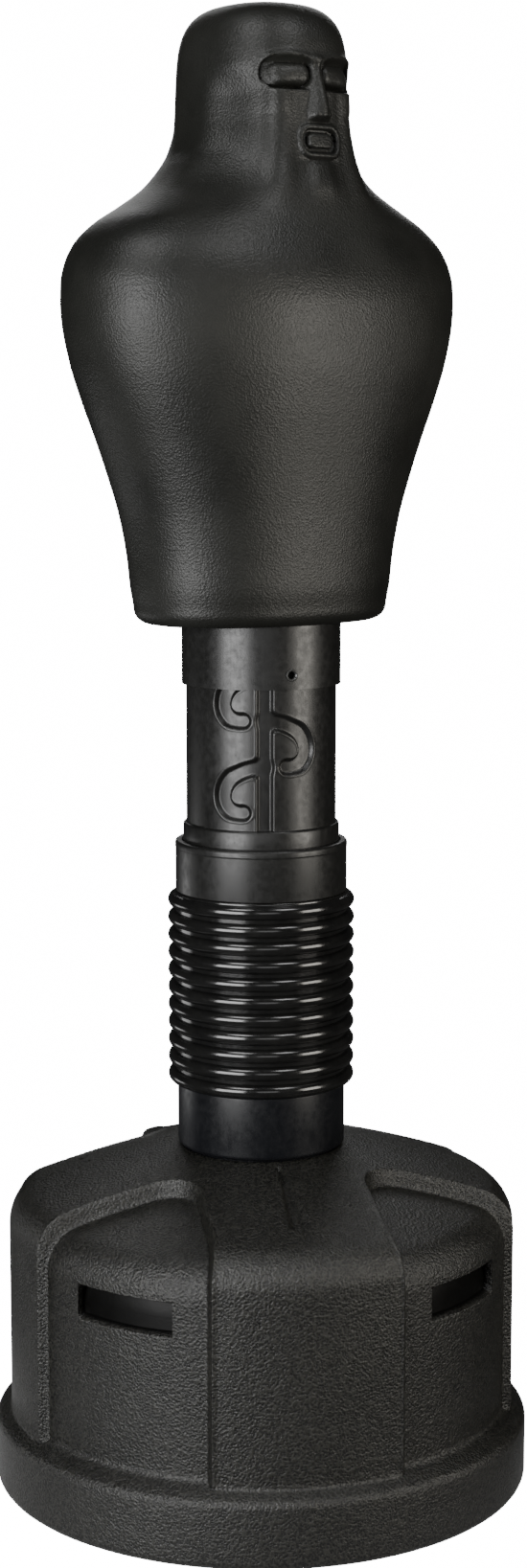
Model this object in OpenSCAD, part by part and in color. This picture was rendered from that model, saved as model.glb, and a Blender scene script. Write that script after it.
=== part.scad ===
// Free-standing body opponent mannequin: a foam torso on a height-adjustable pole,
// a spring neck under a ribbed bellows, and a fillable base tank.
// Millimetres. +Z up, the floor at Z = 0 under the middle of the base, the face towards -Y.

/* [Base tank] */
// Diameter of the foot ring
base_d = 610; // [590:5:630]
// Height of the foot ring
ring_h = 80; // [70:1:85]
// Diameter of the tank's upright wall
wall_d = 576; // [560:2:580]
// Height at which the upright wall turns into the shoulder
shoulder_z = 298; // [285:1:305]
// Wall thickness of the tank
tank_wall = 4.5; // [4:0.5:6]
// How far the four side panels sit in from the wall
panel_inset = 8; // [4:1:10]
// How far the side panels' tops sit below the dome
panel_drop = 15; // [8:1:16]
// Direction of the first side panel, in degrees from +X
panel_phi = 17.8; // [0:0.1:45]
// Width of a hand-hold pocket
pocket_w = 122; // [100:1:130]
// Height of a hand-hold pocket's mouth
pocket_h = 35.5; // [30:0.5:40]
// Depth of a hand-hold pocket
pocket_depth = 30; // [20:1:35]

/* [Fill cap] */
// Direction of the fill neck, in degrees from +X
fill_phi = 62.8; // [50:0.1:75]
// Outer radius of the fill neck
fill_neck_r = 30; // [28:1:32]
// Height of the fill neck's rim
fill_neck_top = 402; // [400:1:406]

/* [Pole] */
// Diameter of the lower sleeve
sleeve_d = 189.4; // [188:0.2:190]
// Diameter over the bellows' ribs
bellows_d = 210.8; // [206:0.2:214]
// Number of ribs on the bellows
rib_count = 11; // [9:1:11]
// Distance between ribs
rib_pitch = 20.1; // [19:0.1:20.1]
// Diameter of the upper cuff
cuff_d = 194; // [193:0.5:195]
// Diameter of the adjuster tube
tube_d = 168; // [167:0.5:168]
// Height of one step of the torso's adjustment
level_pitch = 50.8; // [48:0.2:50.8]
// Number of heights at which the torso locks
level_count = 7; // [5:1:7]
// Direction of the tube's locking channel, in degrees from +X
channel_phi = -125; // [-135:0.1:-110]

/* [Torso] */
// Height of the head's top above the floor
total_h = 1650; // [1640:1:1660]
// Thickness of the torso's skin
skin_t = 5; // [4:0.5:6]
// Outer diameter of the mandrel, whose end shows as the collar
collar_d = 177.6; // [177:0.1:178]

/* [Hidden] */

$fn = 96;
eps = 0.01;

// base tank
base_r = base_d / 2;
wall_r = wall_d / 2;
ring_fillet = 12;
foot_fillet = 10;
ring_slope = 30;
kick_r = 215;
kick_h = 8;
shoulder_r = 45.6;
shoulder_end = 70;
dome_r = 1073;
panel_apex = 150;
panel_apex_half = 20;
panel_corner = [246, 111];
panel_reach = [303, 131];
ledge = 1.3;
pocket_top = 279;
pocket_floor_rise = 7.5;
pocket_shift = 2;

// socket for the neck
well_r = 88.6;
well_z = 300;
insert_r = 8;
insert_depth = 26;
insert_boss_r = 14;
lower_bolt_circle = 64;

// fill neck and cap
fill_circle = 185;
fill_bore_r = 22;
cap_r = 36;
cap_t = 5;
cap_skirt = 24;
cap_gap = 1;
cap_grips = 16;
seal_r = 26;
seal_tube_r = 2;

// neck
sleeve_r = sleeve_d / 2;
sleeve_seat = 388;
sleeve_top = 459.6;
sleeve_wall = 4.5;
spigot_r = 88;
flange_t = 5.7;
plate_t = 8;
bellows_bottom = sleeve_top + 0.4;
first_rib = 468.6;
rib_r = 7.8;
bellows_body_r = 97.6;
bellows_wall = 4;
bellows_top = 680;
lower_tail = 30;
upper_tail = 13;

// spring
spring_r = 45;
wire_r = 6;
post_r = 48;
post_top = 452;
seat_t = 6;
spring_bottom = post_top + seat_t;
spring_top = 694;
spring_turns = 9.5;
closed_turns = 1;
wire_sides = 8;
steps_per_turn = 16;
boss_r = 38;
boss_h = 32;

// upper mount, cuff and tube
cuff_r = cuff_d / 2;
cuff_bottom = bellows_top + 0.4;
cuff_top = 738;
cuff_wall = 4.6;
cuff_ledge_z = spring_top + plate_t;
cuff_ledge_t = 6;
upper_bolt_circle = 66;
tube_r = tube_d / 2;
tube_bore_r = 78;
tube_foot = cuff_ledge_z + cuff_ledge_t;
tube_floor_t = 12;
step_r = 87.6;
step_top = 758;
tube_top = 1130;
groove_depth = 4;
groove_half = 9.4;
first_level = 778;
rest_level = 4;
hook_reach = 48.5;
hook_rise = 32.7;
hook_base = 18;
hook_seat = 28;
hook_end = 24.5;
hook_steps = 6;

// mandrel and torso
collar_r = collar_d / 2;
mandrel_bore_r = 84.4;
mandrel_bottom = 914.5;
mandrel_top = 1300;
mandrel_cap_t = 5;
mandrel_plug_h = 10;
mandrel_plug_wall = 4;
anchor_r = 100;
anchor_t = 4;
anchor_z = [1060, 1250];
ring_z = 950;
ring_h2 = 12;
ring_in_r = 84.25;
ring_out_r = 86.5;
ring_play = 0.3;
peg_r = 6;
peg_bore_r = 4.4;
peg_z = first_level + (rest_level - 1) * level_pitch;
peg_phi = channel_phi + 19.3;
torso_bottom = 984;
hem_top = 1000;
crown_h = 100;
crown_power = 3.6;
crown_angles = [90, 85, 78, 68, 56, 42, 26, 10];
head_half_w = 82;
head_half_d = 96.5;
head_roundness = 2.4;
skin_points = 40;
neck_gap = 0.5;

// Torso sections from the throat down: height, half width, half depth, roundness.
torso_sections = [
    [1550, 83, 98, 2.4], [1521, 85.2, 99.5, 2.35], [1495, 95.5, 102.5, 2.25], [1475, 112, 106, 2.15],
    [1454, 134, 111, 2.15], [1434, 165.5, 116, 2.2], [1413, 202, 123.5, 2.25], [1392, 224, 132.5, 2.3],
    [1372, 234, 140.5, 2.3], [1351, 238, 145.5, 2.3], [1330, 238, 147.5, 2.3], [1310, 236.5, 147, 2.3],
    [1268, 227.5, 143.5, 2.3], [1226, 213, 137, 2.3], [1184, 196, 129.5, 2.3], [1141, 180, 122.5, 2.3],
    [1099, 166.5, 116.5, 2.3], [1056, 158, 112, 2.3], [1024, 154.5, 109.5, 2.3], [1003, 151, 105.5, 2.3],
    [994, 146, 102, 2.3], [987, 138, 95, 2.3], [torso_bottom, 127.5, 87, 2.3]
];

// Points on an arc, from angle a0 to a1.
function arc(c, r, a0, a1, n) = [
    for (i = [0 : n]) let (a = a0 + (a1 - a0) * i / n) c + r * [cos(a), sin(a)]
];

// ---------------------------------------------------------------- base tank

// Half section of the tank, moved in by t all round; in and drop shape the side panels.
function tank_outline(t, in, drop) = let (
    foot = [base_r - foot_fillet, foot_fillet],
    brow = [base_r - ring_fillet, ring_h - ring_fillet],
    brow_end = brow + (ring_fillet - t) * [sin(ring_slope), cos(ring_slope)],
    face_r = wall_r - in - t,
    turn = [wall_r - shoulder_r - in, shoulder_z - drop],
    turn_end = turn + shoulder_r * [cos(shoulder_end), sin(shoulder_end)],
    dome = turn_end - dome_r * [cos(shoulder_end), sin(shoulder_end)],
    crown = acos(-dome[0] / (dome_r - t))
) concat(
    [[0, kick_h + t], [kick_r - t / 2, kick_h + t], [kick_r + kick_h - t / 2, t]],
    arc(foot, foot_fillet - t, -90, 0, 4),
    arc(brow, ring_fillet - t, 0, 90 - ring_slope, 4),
    [[face_r, brow_end[1] + (brow_end[0] - face_r) * tan(ring_slope)]],
    arc(turn, shoulder_r - t, 0, shoulder_end, 8),
    arc(dome, dome_r - t, shoulder_end + 1.5, crown, 10)
);

// Height at which the tank's wall leaves the foot ring.
function wall_foot(t) = let (
    brow_z = ring_h - ring_fillet + (ring_fillet - t) * cos(ring_slope),
    brow_x = base_r - ring_fillet + (ring_fillet - t) * sin(ring_slope)
) brow_z + (brow_x - wall_r + t) * tan(ring_slope);

// Outline of one side panel seen from above, with its middle along +X.
function panel_plan(t) = let (
    apex = panel_apex - t,
    side = panel_apex_half + t / 2,
    corner = panel_corner + [-0.7, 0.7] * t,
    reach = panel_reach + [0, t]
) [
    [apex, -side], [apex, side], corner, reach,
    [reach[0], -reach[1]], [corner[0], -corner[1]]
];

module panel_recess(t) {
    lift = wall_foot(t) + ledge;
    difference() {
        translate([0, 0, lift]) linear_extrude(400 - lift) polygon(panel_plan(t));
        rotate_extrude() polygon(tank_outline(t, panel_inset, panel_drop));
    }
}

module pocket(t) {
    back = wall_r - panel_inset - pocket_depth - t;
    mouth = wall_r + 10;
    low = pocket_top - pocket_h - t;
    rotate([90, 0, 0]) linear_extrude(pocket_w + 2 * t, center = true) polygon([
        [back, pocket_top + t], [mouth, pocket_top + t], [mouth, low],
        [wall_r - panel_inset - t, low], [back, low + pocket_floor_rise]
    ]);
}

module tank_solid(t) {
    difference() {
        rotate_extrude() polygon(tank_outline(t, 0, 0));
        for (k = [0 : 3]) rotate(panel_phi + 90 * k) {
            panel_recess(t);
            rotate(k % 2 == 0 ? pocket_shift : -pocket_shift) pocket(t);
        }
        translate([0, 0, well_z - t]) cylinder(r = well_r + t, h = 200);
    }
}

module at_fill_neck() {
    rotate(fill_phi) translate([fill_circle, 0, 0]) children();
}

module on_circle(r, n = 4, first = 45) {
    for (k = [0 : n - 1]) rotate(first + 360 * k / n) translate([r, 0, 0]) children();
}

module base_tank() {
    color([0.07, 0.07, 0.065]) difference() {
        union() {
            difference() {
                tank_solid(0);
                tank_solid(tank_wall);
            }
            at_fill_neck() translate([0, 0, 350]) cylinder(r = fill_neck_r, h = fill_neck_top - 350);
            on_circle(lower_bolt_circle) translate([0, 0, well_z - insert_depth - 6])
                cylinder(r = insert_boss_r, h = insert_depth + 6);
        }
        at_fill_neck() translate([0, 0, 340]) cylinder(r = fill_bore_r, h = 80);
        on_circle(lower_bolt_circle) translate([0, 0, well_z - insert_depth]) cylinder(r = insert_r, h = 40);
    }
}

module fill_cap() {
    top = fill_neck_top + cap_gap + cap_t;
    color([0.08, 0.08, 0.08]) at_fill_neck() difference() {
        translate([0, 0, top - cap_skirt]) cylinder(r = cap_r, h = cap_skirt);
        translate([0, 0, top - cap_skirt - 1]) cylinder(r = fill_neck_r + 0.4, h = cap_skirt - cap_t + 1);
        translate([0, 0, top - cap_t - eps]) difference() {
            cylinder(r = seal_r + seal_tube_r + 0.2, h = 3.2);
            translate([0, 0, -1]) cylinder(r = seal_r - seal_tube_r - 0.2, h = 6);
        }
        on_circle(cap_r + 2, cap_grips, 0) translate([0, 0, top - cap_skirt - 1]) cylinder(r = 4, h = cap_skirt + 2);
    }
}

module fill_cap_seal() {
    color([0.12, 0.12, 0.12]) at_fill_neck()
        translate([0, 0, fill_neck_top + seal_tube_r + 0.1])
        rotate_extrude() translate([seal_r, 0]) circle(r = seal_tube_r);
}

module well_inserts() {
    color([0.72, 0.55, 0.25]) on_circle(lower_bolt_circle) translate([0, 0, well_z - insert_depth]) difference() {
        cylinder(r = insert_r, h = insert_depth);
        translate([0, 0, 4]) cylinder(r = 5, h = insert_depth);
    }
}

// ---------------------------------------------------------------- neck

module neck_sleeve() {
    foot_r = sleeve_r - spigot_r;
    bore_r = sleeve_r - sleeve_wall;
    color([0.09, 0.09, 0.1]) difference() {
        rotate_extrude() polygon(concat(
            [[40, well_z + 0.3], [spigot_r, well_z + 0.3], [spigot_r, sleeve_seat]],
            arc([spigot_r, sleeve_seat + foot_r], foot_r, -90, 0, 5),
            [[sleeve_r, sleeve_top], [bore_r, sleeve_top], [bore_r, 424], [spigot_r - sleeve_wall, 418],
             [spigot_r - sleeve_wall, well_z + 0.3 + flange_t], [40, well_z + 0.3 + flange_t]]
        ));
        on_circle(lower_bolt_circle) translate([0, 0, well_z - 1]) cylinder(r = 5.5, h = 10);
    }
}

module lower_spring_mount() {
    plate_z = well_z + 0.3 + flange_t;
    color([0.45, 0.45, 0.46]) difference() {
        rotate_extrude() polygon([
            [20, plate_z], [spigot_r - sleeve_wall - 0.5, plate_z], [spigot_r - sleeve_wall - 0.5, plate_z + plate_t],
            [post_r, plate_z + plate_t], [post_r, post_top], [spring_r + wire_r + 3, post_top],
            [spring_r + wire_r + 3, spring_bottom], [boss_r, spring_bottom], [boss_r, spring_bottom + boss_h],
            [boss_r - 5, spring_bottom + boss_h], [boss_r - 5, post_top], [post_r - 6, post_top - 5],
            [post_r - 6, plate_z + plate_t], [20, plate_z + plate_t]
        ]);
        on_circle(lower_bolt_circle) translate([0, 0, plate_z - 1]) cylinder(r = 5.5, h = plate_t + 2);
    }
}

module washers(z) {
    translate([0, 0, z]) difference() {
        cylinder(r = 10, h = 2);
        translate([0, 0, -1]) cylinder(r = 5.3, h = 4);
    }
}

// Hex bolt with its head's underside at z and its shank running down.
module hex_bolt(z, shank) {
    translate([0, 0, z]) cylinder(r = 17 / sqrt(3), h = 6.4, $fn = 6);
    translate([0, 0, z - shank]) cylinder(r = 4.95, h = shank + 1);
}

module lower_mount_washers() {
    color([0.6, 0.6, 0.62]) on_circle(lower_bolt_circle) washers(well_z + 0.3 + flange_t + plate_t);
}

module lower_mount_bolts() {
    color([0.6, 0.6, 0.62]) on_circle(lower_bolt_circle) hex_bolt(well_z + 2.3 + flange_t + plate_t, 36);
}

module flex_bellows() {
    color([0.05, 0.05, 0.05]) rotate_extrude() difference() {
        union() {
            translate([sleeve_r - sleeve_wall - 3.6, bellows_bottom - lower_tail]) square([3.3, lower_tail + 4]);
            translate([sleeve_r - sleeve_wall - 3.6, bellows_bottom])
                square([bellows_body_r - sleeve_r + sleeve_wall + 3.6, 4]);
            translate([bellows_body_r - bellows_wall, bellows_bottom])
                square([bellows_wall, bellows_top - bellows_bottom]);
            translate([cuff_r - cuff_wall - 3.6, bellows_top - 4]) square([3.3, upper_tail + 4]);
            translate([cuff_r - cuff_wall - 3.6, bellows_top - 4])
                square([bellows_body_r - cuff_r + cuff_wall + 3.6, 4]);
            for (i = [0 : rib_count - 1]) translate([bellows_d / 2 - rib_r, first_rib + i * rib_pitch])
                circle(r = rib_r);
        }
        for (i = [0 : rib_count - 1]) translate([bellows_d / 2 - rib_r - 1, first_rib + i * rib_pitch])
            circle(r = rib_r - bellows_wall);
        for (i = [0 : rib_count - 1]) translate([bellows_body_r - bellows_wall - 20, first_rib + i * rib_pitch - 3])
            square([21, 6]);
        translate([bellows_body_r - bellows_wall - 20, bellows_bottom + 4])
            square([20, bellows_top - bellows_bottom - 8]);
    }
}

// Height of the coil's wire after a turns: closed at both ends, open between.
function coil_z(a) = let (
    ends = 2 * wire_r + 0.4,
    open = (spring_top - spring_bottom - 2 * wire_r - 2 * closed_turns * ends) / (spring_turns - 2 * closed_turns)
) spring_bottom + wire_r
    + ends * min(a, closed_turns)
    + open * max(0, min(a, spring_turns - closed_turns) - closed_turns)
    + ends * max(0, a - spring_turns + closed_turns);

module flex_spring() {
    rings = spring_turns * steps_per_turn;
    points = [
        for (i = [0 : rings], j = [0 : wire_sides - 1]) let (
            a = i / steps_per_turn,
            w = 360 * j / wire_sides,
            r = spring_r + wire_r * cos(w)
        ) [r * cos(360 * a), r * sin(360 * a), coil_z(a) + wire_r * sin(w)]
    ];
    sides = [
        for (i = [0 : rings - 1], j = [0 : wire_sides - 1]) let (k = (j + 1) % wire_sides, b = i * wire_sides)
            [b + j, b + k, b + wire_sides + k, b + wire_sides + j]
    ];
    start = [for (j = [wire_sides - 1 : -1 : 0]) j];
    end = [for (j = [0 : wire_sides - 1]) rings * wire_sides + j];
    color([0.35, 0.35, 0.37]) polyhedron(points, concat(sides, [start, end]), convexity = 10);
}

// ---------------------------------------------------------------- upper mount, cuff and tube

module upper_spring_mount() {
    color([0.45, 0.45, 0.46]) difference() {
        union() {
            translate([0, 0, spring_top]) cylinder(r = 88, h = plate_t);
            translate([0, 0, spring_top - boss_h]) cylinder(r = boss_r, h = boss_h + 1);
        }
        translate([0, 0, spring_top - boss_h - 1]) cylinder(r = boss_r - 5, h = boss_h + plate_t + 2);
        on_circle(upper_bolt_circle) translate([0, 0, spring_top - 1]) cylinder(r = 5.5, h = plate_t + 2);
    }
}

module upper_cuff() {
    bore_r = cuff_r - cuff_wall;
    rim = 4;
    color([0.08, 0.08, 0.08]) difference() {
        rotate_extrude() polygon(concat(
            [[bore_r, cuff_bottom], [cuff_r, cuff_bottom]],
            arc([cuff_r - rim, cuff_top - rim], rim, 0, 90, 5),
            [[step_r + 0.3, cuff_top], [step_r + 0.3, cuff_top - 6], [bore_r, cuff_top - 10],
             [bore_r, cuff_ledge_z + cuff_ledge_t], [54, cuff_ledge_z + cuff_ledge_t], [54, cuff_ledge_z],
             [bore_r, cuff_ledge_z]]
        ));
        on_circle(upper_bolt_circle) translate([0, 0, cuff_ledge_z - 1]) cylinder(r = 5.5, h = cuff_ledge_t + 2);
    }
}

// Middle line of one hook: along the tube's surface from the channel, and up from the seat.
function hook_line() = concat(
    [for (i = [0 : hook_steps]) let (a = 90 - 90 * i / hook_steps)
        [hook_reach * cos(a), hook_base + hook_rise * sin(a)]],
    [for (i = [1 : hook_steps - 1]) let (a = -90 * i / (hook_steps - 1))
        [hook_seat + (hook_reach - hook_seat) * cos(a), hook_base + hook_base * sin(a)]],
    [[hook_end, 0.5]]
);

// Unit vector across the line p at its point i.
function across(p, i) = let (
    d = p[min(i + 1, len(p) - 1)] - p[max(i - 1, 0)]
) [-d[1], d[0]] / norm(d);

// Outline of a hook on the flat, of the given half width, with a round end at the seat.
function hook_outline(p, half) = let (n = len(p) - 1) concat(
    [for (i = [0 : n]) p[i] + half * across(p, i)],
    [for (k = [1 : 4]) let (u = across(p, n), a = 36 * k)
        p[n] + half * [u[0] * cos(a) - u[1] * sin(a), u[0] * sin(a) + u[1] * cos(a)]],
    [for (i = [n : -1 : 0]) p[i] - half * across(p, i)]
);

// One hook as a straight cutter; side is 1 or -1 and turn is the direction it is cut from.
module hook_cutter(side) {
    turn = 16;
    flat = [for (q = hook_outline(hook_line(), groove_half)) [
        tube_r * sin(q[0] / tube_r * 180 / PI - turn), q[1]
    ]];
    rotate(side * turn) rotate([90, 0, 90]) linear_extrude(tube_r + 5)
        polygon([for (q = flat) [side * q[0], q[1]]]);
}

module groove_cutters() {
    for (face = [0, 180]) rotate(channel_phi + face) {
        translate([0, -groove_half, step_top]) cube([tube_r + 5, 2 * groove_half, 400]);
        for (i = [1 : level_count]) translate([0, 0, first_level + (i - 1) * level_pitch])
            hook_cutter(i % 2 == 0 ? 1 : -1);
    }
}

module adjuster_tube() {
    color([0.08, 0.08, 0.08]) difference() {
        union() {
            translate([0, 0, tube_foot]) cylinder(r = step_r, h = step_top - tube_foot);
            translate([0, 0, tube_foot]) cylinder(r = tube_r, h = tube_top - tube_foot);
        }
        translate([0, 0, tube_foot + tube_floor_t]) cylinder(r = tube_bore_r, h = 600);
        translate([0, 0, tube_foot - 1]) cylinder(r = 30, h = 60);
        on_circle(upper_bolt_circle) translate([0, 0, tube_foot - 1]) cylinder(r = 5.5, h = tube_floor_t + 2);
        intersection() {
            groove_cutters();
            translate([0, 0, step_top]) difference() {
                cylinder(r = tube_r + 4, h = 500);
                translate([0, 0, -1]) cylinder(r = tube_r - groove_depth, h = 502);
            }
        }
    }
}

module upper_mount_washers() {
    color([0.6, 0.6, 0.62]) on_circle(upper_bolt_circle) washers(tube_foot + tube_floor_t);
}

module upper_mount_bolts() {
    color([0.6, 0.6, 0.62]) on_circle(upper_bolt_circle) hex_bolt(tube_foot + tube_floor_t + 2, 42);
}

module upper_mount_nuts() {
    color([0.6, 0.6, 0.62]) on_circle(upper_bolt_circle) translate([0, 0, spring_top - 8]) difference() {
        cylinder(r = 17 / sqrt(3), h = 8, $fn = 6);
        translate([0, 0, -1]) cylinder(r = 5, h = 10);
    }
}

module tube_top_plug() {
    color([0.1, 0.1, 0.1]) difference() {
        union() {
            translate([0, 0, tube_top]) cylinder(r = 80.5, h = 3);
            translate([0, 0, tube_top - 14]) cylinder(r = tube_bore_r - 0.1, h = 15);
        }
        translate([0, 0, tube_top - 15]) cylinder(r = tube_bore_r - 4, h = 15);
    }
}

// ---------------------------------------------------------------- torso

module glide_ring() {
    color([0.85, 0.85, 0.8]) translate([0, 0, ring_z]) difference() {
        cylinder(r = ring_out_r, h = ring_h2);
        translate([0, 0, -1]) cylinder(r = ring_in_r, h = ring_h2 + 2);
        translate([70, -2, -1]) cube([30, 4, ring_h2 + 2]);
    }
}

module peg_holes(r) {
    for (face = [0, 180]) rotate(peg_phi + face) translate([70, 0, peg_z]) rotate([0, 90, 0])
        cylinder(r = r, h = 30);
}

module mandrel() {
    color([0.08, 0.08, 0.08]) difference() {
        rotate_extrude() polygon([
            [mandrel_bore_r, mandrel_bottom], [collar_r, mandrel_bottom],
            [collar_r, anchor_z[0]], [anchor_r, anchor_z[0]], [anchor_r, anchor_z[0] + anchor_t],
            [collar_r, anchor_z[0] + anchor_t], [collar_r, anchor_z[1]], [anchor_r, anchor_z[1]],
            [anchor_r, anchor_z[1] + anchor_t], [collar_r, anchor_z[1] + anchor_t], [collar_r, mandrel_top],
            [mandrel_bore_r, mandrel_top],
            [mandrel_bore_r, ring_z + ring_h2 + ring_play],
            [ring_out_r + ring_play, ring_z + ring_h2 + ring_play],
            [ring_out_r + ring_play, ring_z - ring_play], [mandrel_bore_r, ring_z - ring_play]
        ]);
        peg_holes(peg_r);
    }
}

module mandrel_cap() {
    color([0.1, 0.1, 0.1]) union() {
        translate([0, 0, mandrel_top]) cylinder(r = collar_r, h = mandrel_cap_t);
        translate([0, 0, mandrel_top - mandrel_plug_h]) difference() {
            cylinder(r = mandrel_bore_r - 0.1, h = mandrel_plug_h + 1);
            translate([0, 0, -1])
                cylinder(r = mandrel_bore_r - mandrel_plug_wall, h = mandrel_plug_h + 1);
        }
    }
}

module lock_pegs() {
    color([0.3, 0.3, 0.3]) intersection() {
        difference() {
            peg_holes(peg_r);
            peg_holes(peg_bore_r);
        }
        difference() {
            cylinder(r = collar_r - 0.05, h = 1200);
            translate([0, 0, -1]) cylinder(r = mandrel_bore_r + 0.1, h = 1202);
        }
    }
}

// Section of the head's crown, from angle 90 at its top towards 0 where its sides are upright.
function crown(a) = let (close = max(0.07, pow(cos(a), 2 / crown_power))) [
    total_h - crown_h + crown_h * pow(sin(a), 2 / crown_power),
    head_half_w * close, head_half_d * close, head_roundness
];

// One closed ring of a torso section, moved in by t; the crown moves down and the hem up by as much.
function torso_ring(s, t) = let (
    lift = s[0] > total_h - crown_h / 2 ? -t : s[0] < hem_top ? t : 0
) [
    for (j = [0 : skin_points - 1]) let (
        c = cos(360 * j / skin_points),
        d = sin(360 * j / skin_points)
    ) [
        max(s[1] - t, 2) * sign(c) * pow(abs(c), 2 / s[3]),
        max(s[2] - t, 2) * sign(d) * pow(abs(d), 2 / s[3]),
        s[0] + lift
    ]
];

module torso_shape(t) {
    n = skin_points;
    sections = concat([for (a = crown_angles) crown(a)], torso_sections);
    rings = len(sections);
    points = [for (s = sections) each torso_ring(s, t)];
    sides = [
        for (i = [0 : rings - 2], j = [0 : n - 1]) let (k = (j + 1) % n, b = i * n)
            [b + j, b + k, b + n + k, b + n + j]
    ];
    top = [for (j = [n - 1 : -1 : 0]) j];
    bottom = [for (j = [0 : n - 1]) (rings - 1) * n + j];
    polyhedron(points, concat(sides, [top, bottom]), convexity = 4);
}

module torso_foam() {
    color([0.75, 0.7, 0.55]) difference() {
        torso_shape(skin_t);
        translate([0, 0, mandrel_bottom])
            cylinder(r = collar_r, h = mandrel_top + mandrel_cap_t - mandrel_bottom);
        for (z = anchor_z) translate([0, 0, z]) cylinder(r = anchor_r, h = anchor_t);
    }
}

module torso_skin() {
    color([0.1, 0.1, 0.09]) difference() {
        torso_shape(0);
        torso_shape(skin_t);
        translate([0, 0, mandrel_bottom])
            cylinder(r = collar_r + neck_gap, h = torso_bottom + 2 * skin_t - mandrel_bottom);
    }
}

base_tank();
fill_cap();
fill_cap_seal();
well_inserts();
neck_sleeve();
lower_spring_mount();
lower_mount_washers();
lower_mount_bolts();
flex_bellows();
flex_spring();
upper_spring_mount();
upper_cuff();
adjuster_tube();
upper_mount_washers();
upper_mount_bolts();
upper_mount_nuts();
tube_top_plug();
glide_ring();
mandrel();
mandrel_cap();
lock_pegs();
torso_foam();
torso_skin();
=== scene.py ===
"""Looks of the body opponent mannequin: skin, tank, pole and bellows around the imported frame."""
import math

import bpy
import numpy as np
from mathutils import Matrix, Vector


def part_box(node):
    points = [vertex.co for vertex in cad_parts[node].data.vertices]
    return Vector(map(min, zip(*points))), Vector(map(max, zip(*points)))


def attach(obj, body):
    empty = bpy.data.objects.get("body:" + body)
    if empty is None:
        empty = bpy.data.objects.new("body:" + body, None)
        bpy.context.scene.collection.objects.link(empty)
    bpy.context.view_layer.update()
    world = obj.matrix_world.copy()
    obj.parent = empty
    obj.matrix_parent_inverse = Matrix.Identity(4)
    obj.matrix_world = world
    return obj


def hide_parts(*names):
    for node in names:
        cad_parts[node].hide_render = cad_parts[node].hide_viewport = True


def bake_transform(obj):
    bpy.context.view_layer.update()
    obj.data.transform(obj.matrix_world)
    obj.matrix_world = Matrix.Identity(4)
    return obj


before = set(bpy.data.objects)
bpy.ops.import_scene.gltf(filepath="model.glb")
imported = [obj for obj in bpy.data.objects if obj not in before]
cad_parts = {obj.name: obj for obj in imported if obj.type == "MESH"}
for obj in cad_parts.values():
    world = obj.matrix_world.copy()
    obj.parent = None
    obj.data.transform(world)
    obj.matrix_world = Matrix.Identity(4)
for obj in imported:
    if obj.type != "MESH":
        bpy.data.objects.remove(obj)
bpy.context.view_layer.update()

MM = 0.001
TAU = 2 * math.pi


def rad(degrees):
    return degrees * math.pi / 180


def top_of(node):
    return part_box(node)[1].z / MM


def bottom_of(node):
    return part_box(node)[0].z / MM


def half_width_of(node):
    low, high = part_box(node)
    return (high.x - low.x) / 2 / MM


# ------------------------------------------------------------------ places, in millimetres
TANK_RING_R = half_width_of("base_tank") - 0.1
TANK_WALL_R = 288.0
TANK_SHOULDER_Z = 298.0
TANK_SHOULDER_R = 45.6
TANK_SHOULDER_END = rad(70)
TANK_DOME_R = 1073.0
TANK_RING_H = 80.0
PANEL_IN = 8.0
PANEL_DROP = 15.0
PANEL_PHI = 17.8
PARTING_PHI = 62.8
WELL_R = 88.6
WELL_Z = 300.0
POCKET_HALF = 61.0
POCKET_LOW = 243.5
POCKET_TOP = 279.0
POCKET_BACK = 250.0
POCKET_SHIFT = 2.0

SLEEVE_R = half_width_of("neck_sleeve") + 0.05
SLEEVE_TOP = top_of("neck_sleeve")
SPIGOT_R = 88.0
BELLOWS_BODY_R = 97.6
BELLOWS_LOW = SLEEVE_TOP + 0.4
BELLOWS_TOP = bottom_of("upper_cuff") - 0.4
RIB_COUNT = 11
RIB_R = 7.8
RIB_PITCH = 20.1
FIRST_RIB = 468.6
RIB_OUT = 105.3
CUFF_R = half_width_of("upper_cuff") + 0.05
CUFF_TOP = top_of("upper_cuff")
LEDGE_R = 54.0
LEDGE_LOW = 702.0
LEDGE_TOP = 708.0
TUBE_R = 84.0
TUBE_BORE_R = 78.0
STEP_R = 87.6
STEP_TOP = 758.0
TUBE_TOP = top_of("adjuster_tube")
TUBE_FOOT = bottom_of("adjuster_tube")
CHANNEL_PHI = -125.0
PEG_PHI = CHANNEL_PHI + 19.3
FIRST_LEVEL = 778.0
LEVEL_PITCH = 50.8
LEVELS = 7
POLE_PARTING_PHI = -86.0

COLLAR_FACE_R = 88.8
TORSO_LOW = bottom_of("torso_skin")
TORSO_TOP = top_of("torso_skin")
SKIN_T = 5.0

SPRING_R = 45.0
WIRE_R = 5.9
WIRE_SPACE = 6.0
SPRING_TURNS = 9.5
SPRING_LOW = 458.0
SPRING_HIGH = 694.0


# ------------------------------------------------------------------ small maths
def smooth(x, low, high):
    """0 below low, 1 above high, smooth between; works with low > high too."""
    t = np.clip((np.asarray(x, float) - low) / (high - low), 0, 1)
    return t * t * (3 - 2 * t)


def smooth_min(values, k):
    """Minimum with its corners rounded off over about k."""
    out = values[0]
    for v in values[1:]:
        h = np.clip(0.5 + 0.5 * (out - v) / k, 0, 1)
        out = out * (1 - h) + v * h - k * h * (1 - h)
    return out


def ramp_between(x, low, high, corner):
    """0 below low and 1 above high with a straight slope between, its two corners rounded over that share."""
    t = (np.asarray(x, float) - low) / (high - low)
    lower = np.where(t < corner, np.clip(t + corner, 0, None) ** 2 / (4 * corner), t)
    over = 1 - t
    upper = np.where(over < corner, np.clip(over + corner, 0, None) ** 2 / (4 * corner), over)
    return np.where(t < 0.5, lower, 1 - upper)


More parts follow.
